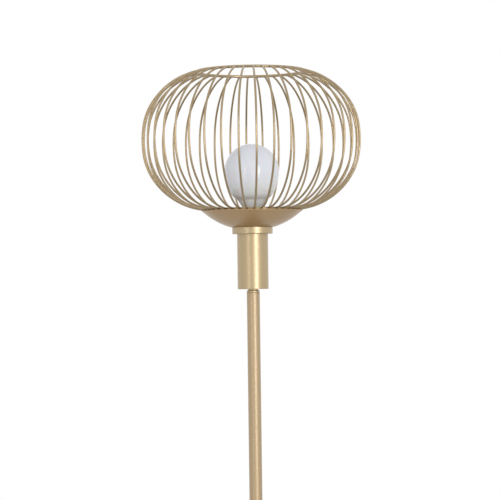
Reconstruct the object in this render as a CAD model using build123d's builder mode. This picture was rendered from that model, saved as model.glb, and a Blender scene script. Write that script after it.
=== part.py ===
from build123d import *
import os
from math import acos, cos, degrees, radians, sin, sqrt

# Floor lamp: a round weighted base, a three-piece pole, a turned cup that holds
# the lampholder, a shallow dish and a bulging cage of bent wires around a globe
# bulb. Millimetres, +Z up, origin on the floor on the pole's axis. The front is -Y.

# ------------------------------------------------------------ driving dimensions
# Base
base_diameter = 260.0
base_height = 18.0
cover_sheet = 1.2
cover_edge_radius = 5.0
cover_floor_gap = 1.0
pad_outer_diameter = 232.0
pad_inner_diameter = 150.0
pad_thickness = 3.0
weight_side_gap = 8.8
weight_recess_diameter = 42.0
weight_recess_depth = 7.0
cord_channel_width = 8.0
collar_diameter = 34.0
collar_height = 7.0
collar_edge_radius = 2.5
weight_chamfer = 1.0
base_washer_diameter = 30.0
grommet_bore = 6.0
grommet_body = 8.0
grommet_lip = 10.5
grommet_lip_thickness = 1.5
grommet_height = 7.0
grommet_reach = 3.0

# Pole
tube_diameter = 19.0
tube_wall = 1.0
tube_length = 394.5
fitting_head = 3.2
fitting_spigot = 14.0
fitting_chamfer = 0.6
spigot_chamfer = 0.8
stud_diameter = 10.0
stud_bore = 7.0
stud_engagement = 12.0
stud_chamfer = 0.6
nut_across_flats = 17.0
nut_height = 4.0
nut_corner_angle = 12.0
washer_thickness = 1.0
nipple_washer_diameter = 20.0
neck_diameter = 15.0
neck_height = 1.8

# Cup and flange
cup_diameter = 45.4
cup_length = 81.0
cup_wall = 1.2
cup_floor = 2.0
cup_chamfer = 0.5
flange_diameter = 59.5
flange_height = 10.0
flange_spigot_length = 6.0
flange_chamfer = 0.6

# Dish
dish_diameter = 147.0
dish_depth = 23.7
dish_floor_diameter = 65.0
dish_sheet = 1.0
rim_bead_diameter = 2.0

# Cage. One wire is a chain of five tangent arcs, the same above and below its middle.
wire_count = 40
wire_diameter = 3.0
first_wire_angle = 2.7
cage_radius = 159.4
side_arc = 145.0
shoulder_arc = 84.0
crown_arc = 101.0
side_angle = 9.3
shoulder_angle = 29.8
ring_rod = 4.2
top_ring_radius = 78.7
bottom_ring_radius = 62.0
spoke_count = 3
spoke_width = 10.0
spoke_sheet = 1.5
spoke_bend_radius = 4.0
spoke_root_overlap = 2.0
spoke_root_clearance = 1.5
spoke_tip_inside = 5.0
spoke_tip_outside = 3.0
spider_washer_diameter = 56.0

# Lampholder, of the E27 size
holder_diameter = 39.4
holder_above_dish = 21.0
holder_mouth = 30.0
holder_wall = 1.7
holder_rim_fillet = 1.0
shell_bore = 27.0
shell_sheet = 0.6
shell_length = 18.0
holder_mouth_depth = 21.5
core_thickness = 12.5
core_recess_diameter = 24.0
core_recess_depth = 6.0
holder_cap_overlap = 5.5
holder_cap_barrel = 9.0
holder_cap_taper = 8.0
holder_cap_neck = 7.0
holder_cap_neck_diameter = 16.0
leaf_width = 6.0
leaf_sheet = 0.5
leaf_bend_radius = 1.2
rivet_diameter = 3.0
rivet_head = 5.5
rivet_head_height = 1.0
rivet_head_fillet = 0.6
rivet_offset = 8.2
terminal_length = 7.0
terminal_width = 8.0
terminal_height = 7.0
terminal_screw_drop = 4.5
terminal_screw_reach = 3.0
wire_hole_diameter = 2.2
tab_width = 5.0
tab_drop = 5.0
tab_root = 1.0
rivet_grip = 2.0
lock_screw_length = 4.0
small_screw_diameter = 3.0
small_screw_head = 5.5
small_screw_head_height = 1.6
small_screw_slot = 0.7
small_screw_slot_depth = 0.8
shade_ring_diameter = 44.0
shade_ring_lip = 48.0
shade_ring_height = 8.0
shade_ring_lip_height = 2.5
shade_ring_notches = 16
shade_ring_notch_radius = 1.5
shade_ring_chamfer = 0.8

# Bulb
globe_diameter = 80.0
glass_wall = 0.8
bulb_neck_diameter = 27.6
globe_to_cap = 57.0
# Below the globe's middle: a flatter arc, a tight one outwards, one inwards and the neck.
# Points are (distance from the axis, drop from the globe's middle).
bulb_shoulder_arc = 65.0
bulb_shoulder_angle = 32.0
bulb_edge_arc = 17.5
bulb_crease = (24.0, 40.3)
bulb_crease_arc = 13.5
bulb_neck_top = (18.4, 46.5)
cap_stand = 3.0
cap_sheet = 0.5
cap_diameter = 26.2
cap_collar_diameter = 28.8
cap_collar_height = 3.5
cap_collar_step = 1.0
cap_straight = 18.5
cap_foot_diameter = 18.0
cap_taper = 2.5
insulator_height = 3.0
insulator_foot_diameter = 10.0
tip_diameter = 8.0
tip_height = 2.0
stem_diameter = 6.0
stem_height = 44.0
filament_radius = 11.0
filament_wire = 0.8
filament_rise = 8.0

# Fits
thread_clearance = 0.05
press_clearance = 0.03
hole_clearance = 0.3
tab_clearance = 0.2
seat_gap = 0.05

# ------------------------------------------------------------ heights up the lamp
cover_top = base_height
weight_bottom = pad_thickness
weight_top = cover_top - cover_sheet
recess_top = weight_bottom + weight_recess_depth
collar_top = cover_top + collar_height

tube_foot = {}
tube_head = {}
level = collar_top
for section in ("lower", "middle", "upper"):
    tube_foot[section] = level + fitting_head
    tube_head[section] = tube_foot[section] + tube_length
    level = tube_head[section] + fitting_head
neck_top = level + neck_height

cup_bottom = neck_top
cup_top = cup_bottom + cup_length
dish_bottom = cup_top + flange_height
rim_height = dish_bottom + dish_depth
spider_bottom = dish_bottom + dish_sheet
shade_ring_bottom = spider_bottom + spoke_sheet

holder_rim = dish_bottom + dish_sheet + holder_above_dish
core_top = holder_rim - holder_mouth_depth
core_bottom = core_top - core_thickness
recess_floor = core_top - core_recess_depth
skirt_bottom = core_bottom - holder_cap_overlap
taper_top = skirt_bottom - holder_cap_barrel
neck_start = taper_top - holder_cap_taper
holder_bottom = neck_start - holder_cap_neck

lock_screw_height = holder_bottom + holder_cap_neck / 2

cap_joint = holder_rim + cap_stand
globe_centre = cap_joint + globe_to_cap
cap_straight_bottom = cap_joint - cap_straight
cap_foot = cap_straight_bottom - cap_taper
insulator_foot = cap_foot - insulator_height
tip_bottom = insulator_foot - tip_height

# ------------------------------------------------------------ dish and cage geometry
rim_radius = dish_diameter / 2
floor_radius = dish_floor_diameter / 2
# The dish is part of a sphere through its rim and the edge of its flat floor.
sphere_rise = (rim_radius**2 - floor_radius**2 - dish_depth**2) / (2 * dish_depth)
sphere_radius = sqrt(rim_radius**2 + sphere_rise**2)
sphere_centre = rim_height + sphere_rise


def sphere_offset(radius, height):
    """Distance from the axis at which a sphere about the dish's centre meets a height."""
    return sqrt(radius**2 - (sphere_centre - height) ** 2)


inner_sphere = sphere_radius - dish_sheet
rim_inner_radius = sphere_offset(inner_sphere, rim_height)
floor_inner_radius = sphere_offset(inner_sphere, spider_bottom)
bead_radius = (rim_radius + rim_inner_radius) / 2


def step_back(point, radius, angle):
    """Centre of an arc of this radius that ends at the point, at this angle."""
    return (point[0] - radius * cos(radians(angle)), point[1] - radius * sin(radians(angle)))


def step_out(centre, radius, angle):
    """Point on an arc about the centre, at this angle."""
    return (centre[0] + radius * cos(radians(angle)), centre[1] + radius * sin(radians(angle)))


# Arc centres as (distance from the axis, height above the cage's middle)
side_centre = (cage_radius - side_arc, 0.0)
shoulder_centre = step_back(step_out(side_centre, side_arc, side_angle), shoulder_arc, side_angle)
crown_centre = step_back(
    step_out(shoulder_centre, shoulder_arc, shoulder_angle), crown_arc, shoulder_angle
)
top_end_angle = degrees(acos((top_ring_radius - crown_centre[0]) / crown_arc))
bottom_end_angle = degrees(acos((bottom_ring_radius - crown_centre[0]) / crown_arc))

# The wires rest on the dish's rim bead, and that sets the height of the cage.
bead_reach = crown_arc + wire_diameter / 2 + rim_bead_diameter / 2 + seat_gap
cage_middle = (
    rim_height + crown_centre[1] + sqrt(bead_reach**2 - (bead_radius - crown_centre[0]) ** 2)
)
top_ring_height = cage_middle + step_out(crown_centre, crown_arc, top_end_angle)[1]
bottom_ring_height = cage_middle - step_out(crown_centre, crown_arc, bottom_end_angle)[1]

os.makedirs("parts", exist_ok=True)


def save(piece, name):
    """Label one finished piece and write it as a STEP file."""
    piece.part.label = name
    export_step(piece.part, f"parts/{name}.step")


# ------------------------------------------------------------ base
with BuildPart() as base_pad:
    with BuildSketch():
        Circle(pad_outer_diameter / 2)
        Circle(pad_inner_diameter / 2, mode=Mode.SUBTRACT)
    extrude(amount=pad_thickness)
save(base_pad, "base_pad")

cover_inner_radius = base_diameter / 2 - cover_sheet
weight_radius = cover_inner_radius - weight_side_gap

with BuildPart() as base_weight:
    with BuildSketch(Plane.XY.offset(weight_bottom)):
        Circle(weight_radius)
    extrude(amount=weight_top - weight_bottom)
    chamfer(base_weight.edges().filter_by(GeomType.CIRCLE), length=weight_chamfer)
    with BuildSketch(Plane.XY.offset(weight_bottom)):
        Circle(weight_recess_diameter / 2)
        with Locations((0, weight_radius / 2)):
            Rectangle(cord_channel_width, weight_radius)
    extrude(amount=weight_recess_depth, mode=Mode.SUBTRACT)
    with BuildSketch(Plane.XY.offset(weight_bottom)):
        Circle(stud_diameter / 2 + thread_clearance)
    extrude(amount=weight_top - weight_bottom, mode=Mode.SUBTRACT)
save(base_weight, "base_weight")

# Spun cover: a disc with a rounded shoulder and a short skirt
with BuildPart() as base_cover:
    with BuildSketch(Plane.XY.offset(cover_floor_gap)):
        Circle(base_diameter / 2)
    extrude(amount=cover_top - cover_floor_gap)
    fillet(base_cover.edges().group_by(Axis.Z)[-1], radius=cover_edge_radius)
    offset(
        amount=-cover_sheet,
        openings=base_cover.faces().sort_by(Axis.Z)[0],
    )
    with BuildSketch(Plane.XY.offset(cover_top - cover_sheet)):
        Circle(stud_diameter / 2 + thread_clearance)
    extrude(amount=cover_sheet, mode=Mode.SUBTRACT)
    with BuildSketch(Plane.XZ.offset(-base_diameter / 2)):
        with Locations((0, grommet_height)):
            Circle(grommet_body / 2 + thread_clearance)
    extrude(amount=grommet_reach, mode=Mode.SUBTRACT)
save(base_cover, "base_cover")

# Snap-in grommet in the cover's back wall, where the mains lead comes in
with BuildPart() as cord_grommet:
    with BuildSketch(Plane.XZ.offset(-base_diameter / 2)):
        with Locations((0, grommet_height)):
            Circle(grommet_lip / 2)
    extrude(amount=-grommet_lip_thickness)
    fillet(cord_grommet.edges().group_by(Axis.Y)[-1], radius=grommet_lip_thickness / 2)
    with BuildSketch(Plane.XZ.offset(-base_diameter / 2)):
        with Locations((0, grommet_height)):
            Circle(grommet_body / 2)
    extrude(amount=grommet_reach)
    with BuildSketch(Plane.XZ.offset(-base_diameter / 2 - grommet_lip_thickness)):
        with Locations((0, grommet_height)):
            Circle(grommet_bore / 2)
    extrude(amount=grommet_reach + grommet_lip_thickness, mode=Mode.SUBTRACT)
save(cord_grommet, "cord_grommet")

with BuildPart() as base_collar:
    with BuildSketch(Plane.XY.offset(cover_top)):
        Circle(collar_diameter / 2)
    extrude(amount=collar_height)
    fillet(base_collar.edges().group_by(Axis.Z)[-1], radius=collar_edge_radius)
    with BuildSketch(Plane.XY.offset(cover_top)):
        Circle(stud_diameter / 2 + thread_clearance)
    extrude(amount=collar_height, mode=Mode.SUBTRACT)
save(base_collar, "base_collar")


# ------------------------------------------------------------ threaded hardware
def hex_nut(bottom):
    """Thin hexagon nut on a hollow stud, its corners rounded off by a cone."""
    corner = nut_across_flats / 2 / cos(radians(30))
    with BuildPart() as nut:
        with BuildSketch(Plane.XY.offset(bottom)):
            RegularPolygon(nut_across_flats / 2, 6, major_radius=False)
        extrude(amount=nut_height)
        with BuildSketch(Plane.XY.offset(bottom)):
            Circle(corner)
        extrude(amount=nut_height, taper=nut_corner_angle, mode=Mode.INTERSECT)
        with BuildSketch(Plane.XY.offset(bottom)):
            Circle(stud_diameter / 2 + thread_clearance)
        extrude(amount=nut_height, mode=Mode.SUBTRACT)
    return nut


def flat_washer(bottom, diameter, thickness):
    """Round washer that clears a hollow stud."""
    with BuildPart() as washer:
        with BuildSketch(Plane.XY.offset(bottom)):
            Circle(diameter / 2)
            Circle(stud_diameter / 2 + thread_clearance, mode=Mode.SUBTRACT)
        extrude(amount=thickness)
    return washer


def hollow_stud(bottom, top):
    """Threaded tube, drawn at its outer diameter, that the lead passes through."""
    with BuildPart() as stud:
        with BuildSketch(Plane.XY.offset(bottom)):
            Circle(stud_diameter / 2)
        extrude(amount=top - bottom)
        chamfer(stud.edges(), length=stud_chamfer)
        with BuildSketch(Plane.XY.offset(bottom)):
            Circle(stud_bore / 2)
        extrude(amount=top - bottom, mode=Mode.SUBTRACT)
    return stud


base_washer_bottom = recess_top - washer_thickness
base_nut_bottom = base_washer_bottom - nut_height
nipple_washer_bottom = cup_bottom + cup_floor
nipple_nut_bottom = nipple_washer_bottom + washer_thickness

save(flat_washer(base_washer_bottom, base_washer_diameter, washer_thickness), "base_washer")
save(hex_nut(base_nut_bottom), "base_nut")
save(flat_washer(level, neck_diameter, neck_height), "neck_washer")
save(
    flat_washer(nipple_washer_bottom, nipple_washer_diameter, washer_thickness), "nipple_washer"
)
save(hex_nut(nipple_nut_bottom), "nipple_nut")

save(hollow_stud(base_nut_bottom, tube_foot["lower"] + stud_engagement), "base_stud")
save(
    hollow_stud(tube_head["lower"] - stud_engagement, tube_foot["middle"] + stud_engagement),
    "lower_joint_stud",
)
save(
    hollow_stud(tube_head["middle"] - stud_engagement, tube_foot["upper"] + stud_engagement),
    "upper_joint_stud",
)
save(
    hollow_stud(tube_head["upper"] - stud_engagement, neck_start + holder_cap_taper / 2),
    "holder_nipple",
)


# ------------------------------------------------------------ pole
def pole_tube(bottom):
    """One drawn tube of the pole."""
    with BuildPart() as tube:
        with BuildSketch(Plane.XY.offset(bottom)):
            Circle(tube_diameter / 2)
            Circle(tube_diameter / 2 - tube_wall, mode=Mode.SUBTRACT)
        extrude(amount=tube_length)
    return tube


def pole_fitting(tube_end, outward):
    """Turned plug: a head as wide as the tube outside it, and a spigot inside it."""
    with BuildPart() as fitting:
        with BuildSketch(Plane.XY.offset(tube_end)):
            Circle(tube_diameter / 2)
        extrude(amount=outward * fitting_head)
        chamfer(fitting.edges(), length=fitting_chamfer)
        with BuildSketch(Plane.XY.offset(tube_end)):
            Circle(tube_diameter / 2 - tube_wall - press_clearance)
        extrude(amount=-outward * fitting_spigot)
        chamfer(fitting.edges().sort_by(Axis.Z, reverse=outward < 0)[0], length=spigot_chamfer)
        with BuildSketch(Plane.XY.offset(tube_end + outward * fitting_head)):
            Circle(stud_diameter / 2 + thread_clearance)
        extrude(amount=-outward * (fitting_head + fitting_spigot), mode=Mode.SUBTRACT)
    return fitting


for section in ("lower", "middle", "upper"):
    save(pole_tube(tube_foot[section]), f"{section}_tube")
    save(pole_fitting(tube_foot[section], -1), f"{section}_tube_foot_fitting")
    save(pole_fitting(tube_head[section], 1), f"{section}_tube_head_fitting")

# ------------------------------------------------------------ cup and flange
cup_inner_radius = cup_diameter / 2 - cup_wall
holder_hole_radius = holder_diameter / 2 + hole_clearance

with BuildPart() as socket_cup:
    with BuildSketch(Plane.XY.offset(cup_bottom)):
        Circle(cup_diameter / 2)
    extrude(amount=cup_length)
    chamfer(socket_cup.edges().group_by(Axis.Z)[0], length=cup_chamfer)
    with BuildSketch(Plane.XY.offset(cup_bottom + cup_floor)):
        Circle(cup_inner_radius)
    extrude(amount=cup_length - cup_floor, mode=Mode.SUBTRACT)
    with BuildSketch(Plane.XY.offset(cup_bottom)):
        Circle(stud_diameter / 2 + thread_clearance)
    extrude(amount=cup_floor, mode=Mode.SUBTRACT)
save(socket_cup, "socket_cup")

with BuildPart() as flange_ring:
    with BuildSketch(Plane.XY.offset(cup_top)):
        Circle(flange_diameter / 2)
    extrude(amount=flange_height)
    chamfer(flange_ring.edges(), length=flange_chamfer)
    with BuildSketch(Plane.XY.offset(cup_top)):
        Circle(cup_inner_radius - press_clearance)
    extrude(amount=-flange_spigot_length)
    with BuildSketch(Plane.XY.offset(cup_top - flange_spigot_length)):
        Circle(holder_hole_radius)
    extrude(amount=flange_spigot_length + flange_height, mode=Mode.SUBTRACT)
save(flange_ring, "flange_ring")

# ------------------------------------------------------------ dish
with BuildPart() as dish:
    with BuildSketch(Plane.XZ) as dish_section:
        with BuildLine():
            Line((holder_hole_radius, dish_bottom), (floor_radius, dish_bottom))
            RadiusArc((floor_radius, dish_bottom), (rim_radius, rim_height), -sphere_radius)
            Line((rim_radius, rim_height), (rim_inner_radius, rim_height))
            RadiusArc(
                (rim_inner_radius, rim_height), (floor_inner_radius, spider_bottom), inner_sphere
            )
            Line((floor_inner_radius, spider_bottom), (holder_hole_radius, spider_bottom))
            Line((holder_hole_radius, spider_bottom), (holder_hole_radius, dish_bottom))
        make_face()
        with Locations((bead_radius, rim_height)):
            Circle(rim_bead_diameter / 2)
    revolve(axis=Axis.Z)
save(dish, "dish")

# ------------------------------------------------------------ cage
with BuildPart() as cage_top_ring:
    with Locations((0, 0, top_ring_height)):
        Torus(top_ring_radius, ring_rod / 2)
save(cage_top_ring, "cage_top_ring")

with BuildPart() as cage_bottom_ring:
    with Locations((0, 0, bottom_ring_height)):
        Torus(bottom_ring_radius, ring_rod / 2)
save(cage_bottom_ring, "cage_bottom_ring")

# Each end of a wire is coped round the ring that it is welded to.
with BuildPart() as bent_wire:
    with BuildLine(Plane.XZ) as wire_line:
        for sign, end_angle in ((1, top_end_angle), (-1, bottom_end_angle)):
            shoulder_at = (shoulder_centre[0], cage_middle + sign * shoulder_centre[1])
            crown_at = (crown_centre[0], cage_middle + sign * crown_centre[1])
            CenterArc((side_centre[0], cage_middle), side_arc, 0, sign * side_angle)
            CenterArc(
                shoulder_at, shoulder_arc, sign * side_angle, sign * (shoulder_angle - side_angle)
            )
            CenterArc(
                crown_at, crown_arc, sign * shoulder_angle, sign * (end_angle - shoulder_angle)
            )
    with BuildSketch(Plane((cage_radius, 0, cage_middle))):
        Circle(wire_diameter / 2)
    sweep(path=wire_line.wire())
    with Locations((0, 0, top_ring_height)):
        Torus(top_ring_radius, ring_rod / 2, mode=Mode.SUBTRACT)
    with Locations((0, 0, bottom_ring_height)):
        Torus(bottom_ring_radius, ring_rod / 2, mode=Mode.SUBTRACT)

with BuildPart() as cage_wires:
    with PolarLocations(0, wire_count, start_angle=first_wire_angle):
        add(bent_wire.part)
save(cage_wires, "cage_wires")

# Pressed spider: a washer clamped in the dish, and spokes up to the bottom ring
spoke_start = shade_ring_lip / 2 - spoke_root_overlap
spoke_bend = shade_ring_lip / 2 + spoke_root_clearance
spoke_floor_height = spider_bottom + spoke_sheet / 2
spoke_tip_height = bottom_ring_height - ring_rod / 2 - spoke_sheet / 2

with BuildPart() as spider_spoke:
    with BuildLine(Plane.XZ) as spoke_line:
        FilletPolyline(
            (spoke_start, spoke_floor_height),
            (spoke_bend, spoke_floor_height),
            (bottom_ring_radius - spoke_tip_inside, spoke_tip_height),
            (bottom_ring_radius + spoke_tip_outside, spoke_tip_height),
            radius=spoke_bend_radius,
        )
    with BuildSketch(Plane((spoke_start, 0, spoke_floor_height), x_dir=(0, 1, 0), z_dir=(1, 0, 0))):
        Rectangle(spoke_width, spoke_sheet)
    sweep(path=spoke_line.wire())

with BuildPart() as cage_spider:
    with BuildSketch(Plane.XY.offset(spider_bottom)):
        Circle(spider_washer_diameter / 2)
    extrude(amount=spoke_sheet)
    with PolarLocations(0, spoke_count):
        add(spider_spoke.part)
    with BuildSketch(Plane.XY.offset(spider_bottom)):
        Circle(holder_hole_radius)
    extrude(amount=spoke_sheet, mode=Mode.SUBTRACT)
save(cage_spider, "cage_spider")

# ------------------------------------------------------------ lampholder
holder_radius = holder_diameter / 2
skirt_bore_radius = holder_radius - holder_wall

# Outer skirt: a narrow mouth, and a wide bore below it that houses the core
with BuildPart() as holder_skirt:
    with BuildSketch(Plane.XY.offset(skirt_bottom)):
        Circle(holder_radius)
    extrude(amount=holder_rim - skirt_bottom)
    fillet(holder_skirt.edges().group_by(Axis.Z)[-1], radius=holder_rim_fillet)
    with BuildSketch(Plane.XY.offset(core_top)):
        Circle(holder_mouth / 2)
    extrude(amount=holder_mouth_depth, mode=Mode.SUBTRACT)
    with BuildSketch(Plane.XY.offset(skirt_bottom)):
        Circle(skirt_bore_radius)
    extrude(amount=core_top - skirt_bottom, mode=Mode.SUBTRACT)
save(holder_skirt, "holder_skirt")

# Cap: a spigot inside the skirt, a barrel, a taper and a neck for the nipple
with BuildPart() as holder_cap:
    with BuildSketch(Plane.XY.offset(skirt_bottom)):
        Circle(skirt_bore_radius - thread_clearance)
    extrude(amount=holder_cap_overlap)
    with BuildSketch(Plane.XY.offset(taper_top)):
        Circle(holder_radius)
    extrude(amount=holder_cap_barrel)
    with BuildSketch(Plane.XY.offset(taper_top)):
        Circle(holder_radius)
    with BuildSketch(Plane.XY.offset(neck_start)):
        Circle(holder_cap_neck_diameter / 2)
    loft()
    with BuildSketch(Plane.XY.offset(holder_bottom)):
        Circle(holder_cap_neck_diameter / 2)
    extrude(amount=holder_cap_neck)
    inside_radius = skirt_bore_radius - holder_wall - thread_clearance
    with BuildSketch(Plane.XY.offset(taper_top)):
        Circle(inside_radius)
    extrude(amount=core_bottom - taper_top, mode=Mode.SUBTRACT)
    with BuildSketch(Plane.XY.offset(taper_top)):
        Circle(inside_radius)
    with BuildSketch(Plane.XY.offset(neck_start)):
        Circle(stud_diameter / 2 + thread_clearance)
    loft(mode=Mode.SUBTRACT)
    with BuildSketch(Plane.XY.offset(holder_bottom)):
        Circle(stud_diameter / 2 + thread_clearance)
    extrude(amount=holder_cap_neck, mode=Mode.SUBTRACT)
    with BuildSketch(Plane.YZ):
        with Locations((0, lock_screw_height)):
            Circle(small_screw_diameter / 2 + thread_clearance)
    extrude(amount=holder_cap_neck_diameter, mode=Mode.SUBTRACT)
save(holder_cap, "holder_cap")

# Grub screw that locks the cap on the nipple
with BuildPart() as holder_lock_screw:
    with BuildSketch(Plane.YZ.offset(stud_diameter / 2 + thread_clearance)):
        with Locations((0, lock_screw_height)):
            Circle(small_screw_diameter / 2)
    extrude(amount=lock_screw_length)
    with BuildSketch(Plane.YZ.offset(stud_diameter / 2 + thread_clearance + lock_screw_length)):
        with Locations((0, lock_screw_height)):
            Rectangle(small_screw_diameter, small_screw_slot)
    extrude(amount=-small_screw_slot_depth, mode=Mode.SUBTRACT)
save(holder_lock_screw, "holder_lock_screw")

# Insulating core, with the pocket for the centre contact and a slot for the shell's tab
tab_inner = shell_bore / 2
with BuildPart() as holder_core:
    with BuildSketch(Plane.XY.offset(core_bottom)):
        Circle(skirt_bore_radius - thread_clearance)
    extrude(amount=core_thickness)
    with BuildSketch(Plane.XY.offset(recess_floor)):
        Circle(core_recess_diameter / 2)
    extrude(amount=core_recess_depth, mode=Mode.SUBTRACT)
    with BuildSketch(Plane.XY.offset(core_bottom)):
        with Locations((rivet_offset, 0)):
            Circle(rivet_diameter / 2 + thread_clearance)
        with Locations((-tab_inner - shell_sheet / 2, 0)):
            Rectangle(shell_sheet + 2 * tab_clearance, tab_width + 2 * tab_clearance)
    extrude(amount=core_thickness, mode=Mode.SUBTRACT)
save(holder_core, "holder_core")

# Brass sleeve that takes the bulb's cap, with a tab down to its terminal
with BuildPart() as contact_shell:
    with BuildSketch(Plane.XY.offset(core_top)):
        Circle(shell_bore / 2 + shell_sheet)
        Circle(shell_bore / 2, mode=Mode.SUBTRACT)
    extrude(amount=shell_length)
    with BuildSketch(Plane.XY.offset(core_bottom - tab_drop)):
        with Locations((-tab_inner - shell_sheet / 2, 0)):
            Rectangle(shell_sheet, tab_width)
    extrude(amount=core_thickness + tab_drop + tab_root)
save(contact_shell, "contact_shell")

# Sprung leaf under the bulb's tip: riveted flat, then rising to the middle
leaf_root = rivet_offset + leaf_width / 2
leaf_low = recess_floor + leaf_sheet / 2
leaf_high = tip_bottom - seat_gap - leaf_sheet / 2
with BuildPart() as centre_contact:
    with BuildLine(Plane.XZ) as leaf_line:
        FilletPolyline(
            (leaf_root, leaf_low),
            (rivet_offset - leaf_width / 2, leaf_low),
            (leaf_width / 3, leaf_high),
            (-leaf_width / 2, leaf_high),
            radius=leaf_bend_radius,
        )
    with BuildSketch(Plane((leaf_root, 0, leaf_low), x_dir=(0, 1, 0), z_dir=(-1, 0, 0))):
        Rectangle(leaf_width, leaf_sheet)
    sweep(path=leaf_line.wire())
    with BuildSketch(Plane.XY.offset(recess_floor)):
        with Locations((rivet_offset, 0)):
            Circle(rivet_diameter / 2 + thread_clearance)
    extrude(amount=leaf_sheet, mode=Mode.SUBTRACT)
save(centre_contact, "centre_contact")

# Rivet through the leaf, the core and the centre terminal's foot
with BuildPart() as contact_rivet:
    with BuildSketch(Plane.XY.offset(core_bottom - rivet_grip)):
        with Locations((rivet_offset, 0)):
            Circle(rivet_diameter / 2)
    extrude(amount=recess_floor + leaf_sheet - core_bottom + rivet_grip)
    with BuildSketch(Plane.XY.offset(recess_floor + leaf_sheet)):
        with Locations((rivet_offset, 0)):
            Circle(rivet_head / 2)
    extrude(amount=rivet_head_height)
    fillet(contact_rivet.edges().group_by(Axis.Z)[-1], radius=rivet_head_fillet)
save(contact_rivet, "contact_rivet")


def terminal_block(x_centre, foot_hole):
    """Brass block under the core: a wire hole up it, a screw from the front, a foot hole."""
    with BuildPart() as block:
        with BuildSketch(Plane.XY.offset(core_bottom - terminal_height)):
            with Locations((x_centre, 0)):
                Rectangle(terminal_length, terminal_width)
        extrude(amount=terminal_height)
        with BuildSketch(Plane.XY.offset(core_bottom - terminal_height)):
            with Locations((x_centre, 0)):
                Circle(wire_hole_diameter / 2)
        extrude(amount=terminal_height - rivet_grip, mode=Mode.SUBTRACT)
        with BuildSketch(Plane.XZ.offset(terminal_width / 2)):
            with Locations((x_centre, core_bottom - terminal_screw_drop)):
                Circle(small_screw_diameter / 2 + thread_clearance)
        extrude(amount=-terminal_screw_reach, mode=Mode.SUBTRACT)
        if foot_hole:
            with BuildSketch(Plane.XY.offset(core_bottom - rivet_grip)):
                with Locations((x_centre, 0)):
                    Circle(foot_hole / 2)
            extrude(amount=rivet_grip, mode=Mode.SUBTRACT)
    return block


centre_terminal_x = rivet_offset
shell_terminal_x = -tab_inner + terminal_length / 2 + thread_clearance
save(terminal_block(centre_terminal_x, rivet_diameter + 2 * thread_clearance), "centre_terminal")
save(terminal_block(shell_terminal_x, 0), "shell_terminal")

with BuildPart() as terminal_screws:
    for x_centre in (centre_terminal_x, shell_terminal_x):
        with BuildSketch(Plane.XZ.offset(terminal_width / 2)):
            with Locations((x_centre, core_bottom - terminal_screw_drop)):
                Circle(small_screw_head / 2)
        extrude(amount=small_screw_head_height)
        with BuildSketch(Plane.XZ.offset(terminal_width / 2)):
            with Locations((x_centre, core_bottom - terminal_screw_drop)):
                Circle(small_screw_diameter / 2)
        extrude(amount=thread_clearance - terminal_screw_reach)
        with BuildSketch(Plane.XZ.offset(terminal_width / 2 + small_screw_head_height)):
            with Locations((x_centre, core_bottom - terminal_screw_drop)):
                Rectangle(small_screw_head, small_screw_slot)
        extrude(amount=-small_screw_slot_depth, mode=Mode.SUBTRACT)
save(terminal_screws, "terminal_screws")

# Notched ring on the skirt's thread, which clamps the spider and the dish on the flange
with BuildPart() as shade_ring:
    with BuildSketch(Plane.XY.offset(shade_ring_bottom)):
        Circle(shade_ring_lip / 2)
    extrude(amount=shade_ring_lip_height)
    with BuildSketch(Plane.XY.offset(shade_ring_bottom)):
        Circle(shade_ring_diameter / 2)
    extrude(amount=shade_ring_height)
    chamfer(shade_ring.edges().group_by(Axis.Z)[-1], length=shade_ring_chamfer)
    with BuildSketch(Plane.XY.offset(shade_ring_bottom)):
        with PolarLocations(shade_ring_lip / 2, shade_ring_notches):
            Circle(shade_ring_notch_radius)
    extrude(amount=shade_ring_lip_height, mode=Mode.SUBTRACT)
    with BuildSketch(Plane.XY.offset(shade_ring_bottom)):
        Circle(holder_radius + thread_clearance)
    extrude(amount=shade_ring_height, mode=Mode.SUBTRACT)
save(shade_ring, "shade_ring")


# ------------------------------------------------------------ bulb
def globe_profile(shrink):
    """Half outline of the globe, its full shoulder and its neck, each drawn in by shrink."""
    globe = globe_diameter / 2 - shrink
    foot = (bulb_neck_diameter / 2 - shrink, -globe_to_cap)
    collar_line = (foot[0], cap_collar_height - globe_to_cap)
    crease = (bulb_crease[0] - shrink, -bulb_crease[1])
    neck_top = (bulb_neck_top[0] - shrink, -bulb_neck_top[1])
    arc_centre = (globe - bulb_shoulder_arc, 0)
    shoulder_end = step_out(arc_centre, bulb_shoulder_arc, -bulb_shoulder_angle)
    with BuildSketch(Plane.XZ) as outline:
        with BuildLine(Plane.XZ.shift_origin((0, 0, globe_centre))):
            CenterArc((0, 0), globe, 0, 90)
            CenterArc(arc_centre, bulb_shoulder_arc, 0, -bulb_shoulder_angle)
            RadiusArc(shoulder_end, crease, bulb_edge_arc)
            RadiusArc(crease, neck_top, -bulb_crease_arc)
            Polyline(neck_top, collar_line, foot, (0, -globe_to_cap), (0, globe))
        make_face()
    return outline


with BuildPart() as bulb_glass:
    add(globe_profile(0).sketch)
    revolve(axis=Axis.Z)
    add(globe_profile(glass_wall).sketch)
    revolve(axis=Axis.Z, mode=Mode.SUBTRACT)
save(bulb_glass, "bulb_glass")

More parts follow.
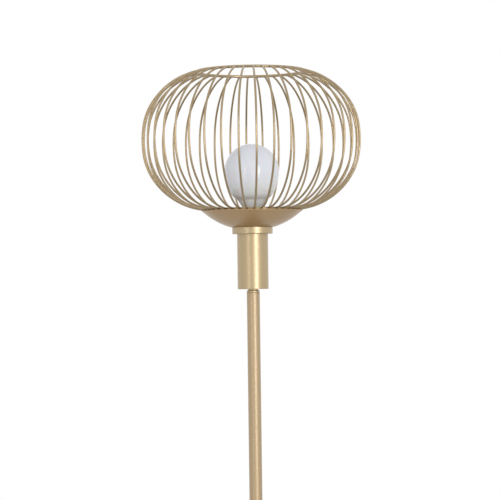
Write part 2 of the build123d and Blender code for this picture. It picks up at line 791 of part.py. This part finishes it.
# Screw cap: a collar round the glass, a straight shell and a taper down to the insulator
neck_radius = bulb_neck_diameter / 2
collar_radius = cap_collar_diameter / 2
collar_foot = cap_joint - cap_collar_height / 2
with BuildPart() as bulb_cap:
    with BuildSketch(Plane.XZ):
        with BuildLine():
            Polyline(
                (neck_radius + press_clearance, cap_joint + cap_collar_height / 2),
                (collar_radius, cap_joint + cap_collar_height / 2),
                (collar_radius, collar_foot),
                (cap_diameter / 2, collar_foot - cap_collar_step),
                (cap_diameter / 2, cap_straight_bottom),
                (cap_foot_diameter / 2, cap_foot),
                (cap_foot_diameter / 2 - cap_sheet, cap_foot),
                (cap_diameter / 2 - cap_sheet, cap_straight_bottom),
                (cap_diameter / 2 - cap_sheet, cap_joint),
                (neck_radius + press_clearance, cap_joint),
                close=True,
            )
        make_face()
    revolve(axis=Axis.Z)
save(bulb_cap, "bulb_cap")

# Glass insulator in the foot of the cap, a cone with a spigot up into the shell
with BuildPart() as bulb_insulator:
    with BuildSketch(Plane.XY.offset(cap_foot)):
        Circle(cap_foot_diameter / 2)
    with BuildSketch(Plane.XY.offset(insulator_foot)):
        Circle(insulator_foot_diameter / 2)
    loft()
    with BuildSketch(Plane.XY.offset(cap_foot)):
        Circle(cap_foot_diameter / 2 - cap_sheet - thread_clearance)
    extrude(amount=cap_taper)
save(bulb_insulator, "bulb_insulator")

with BuildPart() as bulb_tip:
    with BuildSketch(Plane.XY.offset(tip_bottom)):
        Circle(tip_diameter / 2)
    extrude(amount=tip_height)
    fillet(bulb_tip.edges().group_by(Axis.Z)[0], radius=0.8 * tip_height)
save(bulb_tip, "bulb_tip")

# Glass stem that carries the filament, flared where it is sealed in the neck
stem_flare = neck_radius - glass_wall - thread_clearance
with BuildPart() as bulb_stem:
    with BuildSketch(Plane.XY.offset(cap_joint)):
        Circle(stem_flare)
    with BuildSketch(Plane.XY.offset(cap_joint + stem_flare)):
        Circle(stem_diameter / 2)
    loft()
    with BuildSketch(Plane.XY.offset(cap_joint)):
        Circle(stem_diameter / 2)
    extrude(amount=stem_height)
save(bulb_stem, "bulb_stem")

# Filament: an open hoop of coiled wire on two struts from the stem
stem_top = cap_joint + stem_height
hoop_height = stem_top + filament_rise
with BuildPart() as bulb_filament:
    with BuildLine(Plane.XZ) as filament_line:
        Line((stem_diameter / 4, stem_top + filament_wire / 2), (filament_radius, hoop_height))
    with BuildSketch(Plane(filament_line.line @ 0, z_dir=filament_line.line % 0)):
        Circle(filament_wire / 2)
    sweep(path=filament_line.wire())
    mirror(about=Plane.YZ)
    with BuildLine(Plane.XY.offset(hoop_height)) as hoop_line:
        CenterArc((0, 0), filament_radius, 0, 180)
    with BuildSketch(Plane((filament_radius, 0, hoop_height), z_dir=(0, 1, 0))):
        Circle(filament_wire)
    sweep(path=hoop_line.wire())
save(bulb_filament, "bulb_filament")
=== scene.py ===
import math
import random

import bmesh
import bpy
from mathutils import Matrix, Vector


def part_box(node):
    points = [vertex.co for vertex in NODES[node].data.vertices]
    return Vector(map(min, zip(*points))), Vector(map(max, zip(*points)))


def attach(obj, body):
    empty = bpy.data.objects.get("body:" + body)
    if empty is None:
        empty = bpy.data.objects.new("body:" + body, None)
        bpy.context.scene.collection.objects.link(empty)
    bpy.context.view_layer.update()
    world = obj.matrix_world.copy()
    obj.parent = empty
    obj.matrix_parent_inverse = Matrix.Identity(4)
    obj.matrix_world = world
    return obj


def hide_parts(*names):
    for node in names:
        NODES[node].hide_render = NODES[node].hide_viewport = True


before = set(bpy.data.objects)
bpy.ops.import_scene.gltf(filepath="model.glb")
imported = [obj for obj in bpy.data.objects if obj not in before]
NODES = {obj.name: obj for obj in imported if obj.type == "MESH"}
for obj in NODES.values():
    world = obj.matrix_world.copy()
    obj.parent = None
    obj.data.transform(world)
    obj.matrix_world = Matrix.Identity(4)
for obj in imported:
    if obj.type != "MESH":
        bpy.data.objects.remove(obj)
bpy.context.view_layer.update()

IMAGE_SIDE = 500
SENSOR_MM = 36.0
UP = Vector((0, 0, 1))


# ------------------------------------------------------------ camera
def place_camera():
    """The photographer stands well back, level with the cup, with the camera a hair off plumb."""
    focal_pixels = 2170.0
    distance = 3.18
    eye_height = 1.236
    horizon_pixel = 284.7
    axis_pixel = 252.7
    lean = math.radians(-0.75)
    data = bpy.data.cameras.new("camera")
    data.sensor_width = SENSOR_MM
    data.lens = focal_pixels * SENSOR_MM / IMAGE_SIDE
    data.clip_end = 60
    camera = bpy.data.objects.new("camera", data)
    bpy.context.scene.collection.objects.link(camera)
    pitch = math.atan((horizon_pixel - IMAGE_SIDE / 2) / focal_pixels)
    yaw = math.atan((axis_pixel - IMAGE_SIDE / 2) / focal_pixels)
    turn = Matrix.Rotation(yaw, 4, "Z") @ Matrix.Rotation(math.pi / 2 + pitch, 4, "X")
    turn = turn @ Matrix.Rotation(lean, 4, "Z")
    camera.matrix_world = Matrix.Translation((0, -distance, eye_height)) @ turn
    bpy.context.scene.camera = camera


# ------------------------------------------------------------ shader maths
class Signal:
    """One value that runs through a finish. Sums with it add Math nodes."""

    def __init__(self, nodes, socket):
        self.nodes = nodes
        self.socket = socket

    def maths(self, operation, *terms):
        return self.nodes.node("ShaderNodeMath", {"operation": operation}, dict(enumerate(terms)))

    def __add__(self, other):
        return self.maths("ADD", self, other)

    __radd__ = __add__

    def __sub__(self, other):
        return self.maths("SUBTRACT", self, other)

    def __rsub__(self, other):
        return self.maths("SUBTRACT", other, self)

    def __mul__(self, other):
        return self.maths("MULTIPLY", self, other)

    __rmul__ = __mul__

    def __truediv__(self, other):
        return self.maths("DIVIDE", self, other)

    def __pow__(self, power):
        return self.maths("POWER", self, power)


class Nodes:
    """A node tree, and the one way that nodes are added to it."""

    def __init__(self, tree):
        self.tree = tree

    def feed(self, node, inputs):
        for key, value in inputs.items():
            if isinstance(value, Signal):
                self.tree.links.new(value.socket, node.inputs[key])
            else:
                node.inputs[key].default_value = value

    def node(self, kind, settings=None, inputs=None, output=0):
        """Adds a node and gives back one output as a Signal, or the node itself for output None."""
        made = self.tree.nodes.new(kind)
        for key, value in (settings or {}).items():
            if key == "stops":
                ramp = made.color_ramp.elements
                while len(ramp) < len(value):
                    ramp.new(0.5)
                for element, (place, colour) in zip(ramp, value):
                    element.position = place
                    element.color = (*colour, 1)
            else:
                setattr(made, key, value)
        self.feed(made, inputs or {})
        return made if output is None else Signal(self, made.outputs[output])

    def ray(self, kind):
        return self.node("ShaderNodeLightPath", output=kind)


class Finish(Nodes):
    """A material and the nodes that feed its shader."""

    def __init__(self, name):
        self.material = bpy.data.materials.new(name)
        self.material.use_nodes = True
        super().__init__(self.material.node_tree)
        self.shader = self.tree.nodes["Principled BSDF"]

    def set(self, **inputs):
        self.feed(self.shader, {key.replace("_", " "): value for key, value in inputs.items()})

    # Places on the object, in metres
    def place(self):
        return self.node("ShaderNodeTexCoord", output="Object")

    def axes(self):
        split = self.node("ShaderNodeSeparateXYZ", inputs={0: self.place()}, output=None)
        return [Signal(self, socket) for socket in split.outputs]

    def vector(self, x, y, z):
        return self.node("ShaderNodeCombineXYZ", inputs={0: x, 1: y, 2: z})

    def noise(self, where, scale, detail=2.0, roughness=0.5):
        inputs = {"Vector": where, "Scale": scale, "Detail": detail, "Roughness": roughness}
        return self.node("ShaderNodeTexNoise", {"normalize": True}, inputs)

    def ramp(self, signal, *stops):
        return self.node("ShaderNodeValToRGB", {"stops": stops}, {0: signal})

    def blend(self, amount, first, second):
        settings = {"data_type": "RGBA", "blend_type": "MIX"}
        first, second = (c if isinstance(c, Signal) else (*c, 1) for c in (first, second))
        return self.node("ShaderNodeMix", settings, {0: amount, 6: first, 7: second}, output=2)

    def bump(self, height, depth):
        inputs = {"Strength": 1.0, "Distance": depth, "Height": height}
        self.set(Normal=self.node("ShaderNodeBump", inputs=inputs))


# ------------------------------------------------------------ finishes
GOLD = (0.470, 0.358, 0.203)
GOLD_DEEP = (0.414, 0.310, 0.165)


def satin_gold(name, grain, roughness=0.30, light=GOLD, deep=GOLD_DEEP, depth=0.000003):
    """Champagne plating: grain is how the metal was worked (turned, drawn or spun).

    The noise is stretched along the tool's path: rings on turned work, streaks along a drawn
    tube, and circles seen from above on spun sheet.
    """
    gold = Finish(name)
    place = gold.place()
    x, y, z = gold.axes()
    reach = (x * x + y * y) ** 0.5
    if grain == "turned":
        lines = gold.noise(gold.vector(x * 0.02, reach, z), 2600, 3)
        bands = gold.noise(gold.vector(0.0, reach, z), 420, 2)
    elif grain == "drawn":
        lines = gold.noise(gold.vector(x, y, z * 0.02), 3200, 3)
        bands = gold.noise(gold.vector(x, y, z * 0.05), 160, 2)
    else:
        lines = gold.noise(gold.vector(0.0, reach, z * 0.1), 3000, 3)
        bands = gold.noise(gold.vector(0.0, reach, 0.0), 300, 2)
    cloud = gold.noise(place, 28, 3)
    specks = gold.noise(place, 5200, 1)
    tone = cloud * 0.6 + bands * 0.4
    gold.set(
        Base_Color=gold.blend(tone, deep, light),
        Metallic=0.8,
        Roughness=roughness + (lines - 0.5) * 0.12 + (cloud - 0.5) * 0.10,
        Specular_Tint=(0.80, 0.77, 0.72, 1),
        Coat_Weight=0.75,
        Coat_Roughness=0.30,
        Coat_IOR=1.6,
    )
    gold.bump(lines * 0.7 + specks * 0.3, depth)
    return gold.material


def bent_wire_gold():
    """The same plating over drawn rod, a little duller, with faint marks from the bending rolls."""
    gold = Finish("champagne_wire")
    place = gold.place()
    cloud = gold.noise(place, 60, 3)
    marks = gold.noise(place, 900, 2)
    specks = gold.noise(place, 5200, 1)
    tone = cloud * 0.7 + marks * 0.3
    gold.set(
        Base_Color=gold.blend(tone, (0.326, 0.246, 0.141), (0.426, 0.326, 0.196)),
        Metallic=1.0,
        Roughness=0.33 + (marks - 0.5) * 0.16,
        Coat_Weight=0.3,
        Coat_Roughness=0.25,
        Coat_IOR=1.45,
    )
    gold.bump(marks * 0.5 + specks * 0.5, 0.000004)
    return gold.material


def opal_glass():
    """White opal glass, with painted light: paler towards the neck, where the dish shades the lower
    globe.
    """
    glass = Finish("opal_glass")
    cloud = glass.noise(glass.place(), 40, 3)
    x, y, z = glass.axes()
    low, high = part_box("bulb_glass")
    height = (z - low.z) / (high.z - low.z)
    # Painted light: the colour brightens towards the neck so that the lower globe, shaded by the dish,
    # looks evenly lit.
    painted_light_tones = (
        (0.0, (0.95, 0.94, 0.95)),
        (0.3, (0.88, 0.87, 0.89)),
        (0.5, (0.81, 0.80, 0.86)),
        (1.0, (0.77, 0.76, 0.83)),
    )
    glass.set(
        Base_Color=glass.ramp(height, *painted_light_tones),
        Roughness=0.11 + (cloud - 0.5) * 0.06,
        Specular_IOR_Level=0.5,
        Subsurface_Weight=0.15,
        Subsurface_Scale=0.004,
    )
    glass.bump(cloud, 0.00005)
    return glass.material


def nickel():
    """Bright nickel on rolled sheet, with fine rubs."""
    metal = Finish("nickel_plate")
    place = metal.place()
    rubs = metal.noise(place, 700, 3)
    metal.set(
        Base_Color=metal.blend(rubs, (0.60, 0.59, 0.56), (0.74, 0.73, 0.70)),
        Metallic=1.0,
        Roughness=0.18 + rubs * 0.16,
    )
    metal.bump(rubs, 0.00002)
    return metal.material


def zinc():
    """Zinc plate on steel hardware, with its crystal bloom."""
    metal = Finish("zinc_plate")
    place = metal.place()
    inputs = {"Vector": place, "Scale": 900.0}
    bloom = metal.node("ShaderNodeTexVoronoi", {"feature": "F1"}, inputs)
    haze = metal.noise(place, 300, 3)
    metal.set(
        Base_Color=metal.blend(haze, (0.50, 0.51, 0.53), (0.66, 0.67, 0.68)),
        Metallic=1.0,
        Roughness=0.26 + bloom * 0.12 + (haze - 0.5) * 0.1,
    )
    metal.bump(bloom, 0.00002)
    return metal.material


def brass():
    """Stamped brass, a little tarnished."""
    metal = Finish("contact_brass")
    tarnish = metal.noise(metal.place(), 260, 4)
    metal.set(
        Base_Color=metal.blend(tarnish, (0.46, 0.30, 0.10), (0.70, 0.52, 0.22)),
        Metallic=1.0,
        Roughness=0.20 + tarnish * 0.2,
    )
    metal.bump(tarnish, 0.00003)
    return metal.material


def moulded(name, dark, light, roughness, scale, depth):
    """A moulding with the fine sparkle of its mould."""
    plastic = Finish(name)
    place = plastic.place()
    spark = plastic.noise(place, scale, 2)
    cloud = plastic.noise(place, 50, 3)
    plastic.set(
        Base_Color=plastic.blend(cloud, dark, light),
        Roughness=roughness + (spark - 0.5) * 0.2,
    )
    plastic.bump(spark, depth)
    return plastic.material


def foam():
    """Closed-cell foam on the foot."""
    foot = Finish("foot_foam")
    inputs = {"Vector": foot.place(), "Scale": 1400.0}
    cells = foot.node("ShaderNodeTexVoronoi", {"feature": "DISTANCE_TO_EDGE"}, inputs)
    foot.set(
        Base_Color=foot.blend(cells * 2.0, (0.020, 0.020, 0.021), (0.045, 0.045, 0.047)),
        Roughness=0.86,
    )
    foot.bump(cells, 0.0002)
    return foot.material


def casting():
    """Sand-cast grey iron under a thin wash of black."""
    iron = Finish("cast_iron")
    place = iron.place()
    grains = iron.noise(place, 1100, 4, 0.65)
    wash = iron.noise(place, 70, 4)
    iron.set(
        Base_Color=iron.blend(wash, (0.035, 0.036, 0.038), (0.085, 0.085, 0.088)),
        Metallic=0.35,
        Roughness=0.62 + (grains - 0.5) * 0.3,
    )
    iron.bump(grains, 0.0004)
    return iron.material


def clear_glass():
    """The drawn stem inside the bulb."""
    glass = Finish("stem_glass")
    streaks = glass.noise(glass.place(), 200, 2)
    glass.set(
        Base_Color=glass.blend(streaks, (0.90, 0.93, 0.93), (0.96, 0.98, 0.98)),
        Roughness=0.04 + streaks * 0.06,
        Transmission_Weight=0.9,
        IOR=1.5,
    )
    return glass.material


# ------------------------------------------------------------ pieces
def finished_piece(name, mesh_builder, material, body, stands_for=None):
    """Turns a bmesh into a piece of the lamp that rides on a body."""
    mesh = bpy.data.meshes.new(name)
    mesh_builder.normal_update()
    mesh_builder.to_mesh(mesh)
    mesh_builder.free()
    mesh.materials.append(material)
    for face in mesh.polygons:
        face.use_smooth = True
    mesh.set_sharp_from_angle(angle=math.radians(40))
    piece = bpy.data.objects.new(name, mesh)
    bpy.context.scene.collection.objects.link(piece)
    if stands_for:
        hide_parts(stands_for)
    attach(piece, body)
    return piece


def turned_skin(builder, outline, around):
    """Spins a closed row of (radius, height) about the pole's axis; it may change as it turns."""
    rings = []
    for step in range(around):
        angle = 2 * math.pi * step / around
        points = outline(angle)
        across, along = math.cos(angle), math.sin(angle)
        rings.append([builder.verts.new((r * across, r * along, z)) for r, z in points])
    for step in range(around):
        here, there = rings[step], rings[(step + 1) % around]
        for i in range(len(here)):
            j = (i + 1) % len(here)
            builder.faces.new((here[i], there[i], there[j], here[j]))


def threaded_rows(angle, crest, depth, pitch, start, end, rows):
    """(radius, height) down a rolled round thread from end to start, fading out at both ends."""
    fade = 0.35 * pitch
    points = []
    for step in range(rows + 1):
        height = end - (end - start) * step / rows
        turn = (height / pitch - angle / (2 * math.pi)) % 1.0
        wave = 0.5 - 0.5 * math.cos(2 * math.pi * turn)
        run_in = min(1.0, max(0.0, (height - start) / fade))
        run_out = min(1.0, max(0.0, (end - height) / fade))
        points.append((crest - depth * (wave * min(run_in, run_out)), height))
    return points


def threaded_cap(material):
    """The bulb's cap with its rolled screw thread, in metres."""
    low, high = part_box("bulb_cap")
    collar, collar_bore = 0.0144, 0.01383
    crest, tip, sheet = 0.0131, 0.009, 0.0005
    joint = high.z - 0.00175
    shoulder = joint - 0.0185
    thread = {"depth": 0.0008, "pitch": 0.00362, "rows": 72}
    thread.update(start=joint - 0.0182, end=joint - 0.0035)

    def outline(angle):
        outer = [(collar_bore, high.z), (collar, high.z - 0.0002)]
        outer += [(collar, joint - 0.00175), (crest, joint - 0.00275)]
        outer += threaded_rows(angle, crest, **thread)
        outer += [(crest, shoulder), (tip, low.z)]
        inner = [(tip - sheet, low.z), (crest - sheet, shoulder)]
        inner += reversed(threaded_rows(angle, crest - sheet, **thread))
        inner += [(crest - sheet, joint), (collar_bore, joint)]
        return outer + inner

    builder = bmesh.new()
    turned_skin(builder, outline, 96)
    return finished_piece("screw_cap", builder, material, "bulb", "bulb_cap")


def threaded_skirt(material):
    """The lampholder's skirt, with the coarse thread that the notched ring runs on."""
    low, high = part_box("holder_skirt")
    crest = high.x
    mouth, bore, lip = 0.015, crest - 0.0017, 0.001
    core_top = high.z - 0.0215
    thread = {"depth": 0.0006, "pitch": 0.0025, "rows": 110}
    thread.update(start=low.z + 0.012, end=high.z - 0.0022)

    def outline(angle):
        turns = (math.pi / 2, 1.1, 0.6, 0.0)
        outer = [(crest - lip + lip * math.cos(t), high.z - lip + lip * math.sin(t)) for t in turns]
        outer += threaded_rows(angle, crest, **thread)
        outer += [(crest, low.z), (bore, low.z), (bore, core_top), (mouth, core_top), (mouth, high.z)]
        return outer

    builder = bmesh.new()
    turned_skin(builder, outline, 112)
    return finished_piece("threaded_skirt", builder, material, "lamp", "holder_skirt")


def weld_beads(material):
    """A small fillet of braze where each wire meets the two rings."""
    random_swell = random.Random(7)
    wires, first_wire_angle = 40, 2.7
    wire, rod = 0.0015, 0.0021  # radii of a wire and of the rings' rod
    crown, crown_radius = 0.05985, 0.101  # the wire's arc at a ring: where its centre is, its radius
    # The bead along the wire: reach in rod radii, and thickness in wire radii
    profile = ((0.55, 1.22), (0.95, 1.34), (1.12, 1.22), (1.38, 1.07), (1.62, 0.985))
    sides = 12
    ends = []
    for up, ring in ((1, "cage_top_ring"), (-1, "cage_bottom_ring")):
        low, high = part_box(ring)
        ends.append((up, (high.x - low.x) / 2 - rod, (high.z + low.z) / 2))
    builder = bmesh.new()
    for index in range(wires):
        angle = math.radians(first_wire_angle + 360.0 * index / wires)
        outward = Vector((math.cos(angle), math.sin(angle), 0))
        across = outward.cross(UP).normalized()
        for up, ring_radius, ring_height in ends:
            lean = math.acos((ring_radius - crown) / crown_radius)
            along = outward * math.sin(lean) - UP * up * math.cos(lean)
            side = along.cross(across).normalized()
            centre = outward * ring_radius + UP * ring_height
            rows = []
            for reach, thickness in profile:
                row = []
                for step in range(sides):
                    turn = 2 * math.pi * step / sides
                    swell = 1 + 0.05 * random_swell.uniform(-1, 1)
                    offset = (across * math.cos(turn) + side * math.sin(turn)) * wire * thickness * swell
                    row.append(builder.verts.new(centre + along * rod * reach + offset))
                rows.append(row)
            for here, there in zip(rows, rows[1:]):
                for i in range(sides):
                    j = (i + 1) % sides
                    builder.faces.new((here[i], here[j], there[j], there[i]))
    bmesh.ops.recalc_face_normals(builder, faces=builder.faces)
    return finished_piece("ring_welds", builder, material, "lamp")


# ------------------------------------------------------------ light and floor
def background():
    """Even white surroundings: full white to the eye and in reflections, softer as a light."""
    world = bpy.data.worlds.new("studio_white")
    bpy.context.scene.world = world
    world.use_nodes = True
    white = Nodes(world.node_tree)
    white.tree.nodes.clear()
    seen = white.ray("Is Camera Ray") + white.ray("Is Glossy Ray") + white.ray("Is Transmission Ray")
    seen = seen.maths("MINIMUM", seen, 1.0)
    light = white.node("ShaderNodeBackground", inputs={"Color": (1, 1, 1, 1), "Strength": 0.70})
    plain = white.node("ShaderNodeBackground", inputs={"Color": (1, 1, 1, 1), "Strength": 1.0})
    both = white.node("ShaderNodeMixShader", inputs={0: seen, 1: light, 2: plain})
    white.node("ShaderNodeOutputWorld", inputs={0: both}, output=None)


def softbox(name, azimuth, distance, height, width, tall, power):
    """A rectangular lamp that faces the cage; azimuth 0 is behind the camera, + is to its right."""
    data = bpy.data.lights.new(name, "AREA")
    data.shape = "RECTANGLE"
    data.size = width
    data.size_y = tall
    data.energy = power
    data.spread = math.radians(80)
    lamp = bpy.data.objects.new(name, data)
    bpy.context.scene.collection.objects.link(lamp)
    a = math.radians(azimuth)
    lamp.location = (distance * math.sin(a), -distance * math.cos(a), height)
    aim = Vector((0, 0, 1.25)) - lamp.location
    lamp.rotation_mode = "QUATERNION"
    lamp.rotation_quaternion = aim.to_track_quat("-Z", "Y")


def studio_floor():
    """Plain pale floor that keeps the lamp's shadow and runs out into the white around it."""
    floor_radius = 8.0
    builder = bmesh.new()
    bmesh.ops.create_circle(builder, cap_ends=True, radius=floor_radius, segments=96)
    mesh = bpy.data.meshes.new("studio_floor")
    builder.to_mesh(mesh)
    builder.free()
    floor = bpy.data.objects.new("studio_floor", mesh)
    floor.location.z = -0.0005
    bpy.context.scene.collection.objects.link(floor)
    pale = Finish("pale_floor")
    x, y, z = pale.axes()
    reach = (x * x + y * y) ** 0.5
    pale.set(
        Base_Color=(0.93, 0.93, 0.925, 1),
        Roughness=0.8,
        Specular_IOR_Level=0.2,
        Emission_Color=pale.blend(pale.ray("Is Camera Ray"), (0, 0, 0), (0.2, 0.2, 0.2)),
        Emission_Strength=1.0,
        Alpha=pale.ramp(reach / floor_radius, (0.0, (1, 1, 1)), (0.22, (1, 1, 1)), (0.95, (0, 0, 0))),
    )
    mesh.materials.append(pale.material)


# ------------------------------------------------------------ the lamp, from the floor up
def finish_lamp():
    turned = satin_gold("champagne_turned", "turned", 0.41)
    tube = satin_gold("champagne_tube", "drawn", 0.50, (0.458, 0.335, 0.194), (0.402, 0.289, 0.158))
    # Painted shade: the spun gold of the dish and base cover is a darker, browner copy of the champagne
    # plating. It stands in for the shade under the dish.
    spun = satin_gold("champagne_spun_painted_shade", "spun", 0.42, (0.462, 0.306, 0.148), (0.398, 0.254, 0.112))
    wire = bent_wire_gold()
    steel = zinc()
    contact = brass()
    cap_nickel = nickel()
    phenolic = moulded("black_phenolic", (0.012, 0.012, 0.013), (0.022, 0.022, 0.024), 0.42, 2400, 3e-5)
    grommet = moulded("grommet_nylon", (0.018, 0.018, 0.019), (0.030, 0.030, 0.032), 0.5, 1600, 3e-5)
    steatite = moulded("steatite", (0.62, 0.60, 0.54), (0.74, 0.72, 0.67), 0.6, 1800, 4e-5)
    bead = moulded("cap_bead", (0.010, 0.010, 0.012), (0.020, 0.020, 0.024), 0.12, 900, 2e-5)
    wear = {
        "base_pad": foam(),
        "base_weight": casting(),
        "cord_grommet": grommet,
        "base_cover": spun,
        "dish": spun,
        "holder_core": steatite,
        "bulb_glass": opal_glass(),
        "bulb_insulator": bead,
        "bulb_tip": cap_nickel,
        "bulb_stem": clear_glass(),
        "bulb_filament": steel,
        "bulb_cap": cap_nickel,
    }
    for name in ("base_collar", "neck_washer", "socket_cup", "flange_ring"):
        wear[name] = turned
    for section in ("lower", "middle", "upper"):
        wear[f"{section}_tube"] = tube
        wear[f"{section}_tube_foot_fitting"] = turned
        wear[f"{section}_tube_head_fitting"] = turned
    for name in ("cage_top_ring", "cage_bottom_ring", "cage_wires", "cage_spider"):
        wear[name] = wire
    for name in ("holder_skirt", "holder_cap", "shade_ring"):
        wear[name] = phenolic
    for name in ("contact_shell", "centre_contact", "contact_rivet"):
        wear[name] = contact
    for name in ("centre_terminal", "shell_terminal"):
        wear[name] = contact
    for name, node in NODES.items():
        node.data.materials.clear()
        node.data.materials.append(wear.get(name, steel))
    threaded_cap(cap_nickel)
    threaded_skirt(phenolic)
    weld_beads(wire)


place_camera()
background()
softbox("tall_softbox", azimuth=27, distance=2.6, height=1.45, width=0.85, tall=1.5, power=5.4)
softbox("strip_light", azimuth=-31, distance=2.8, height=1.45, width=0.16, tall=1.5, power=1.1)
studio_floor()
finish_lamp()

bpy.context.scene.view_settings.view_transform = "Standard"
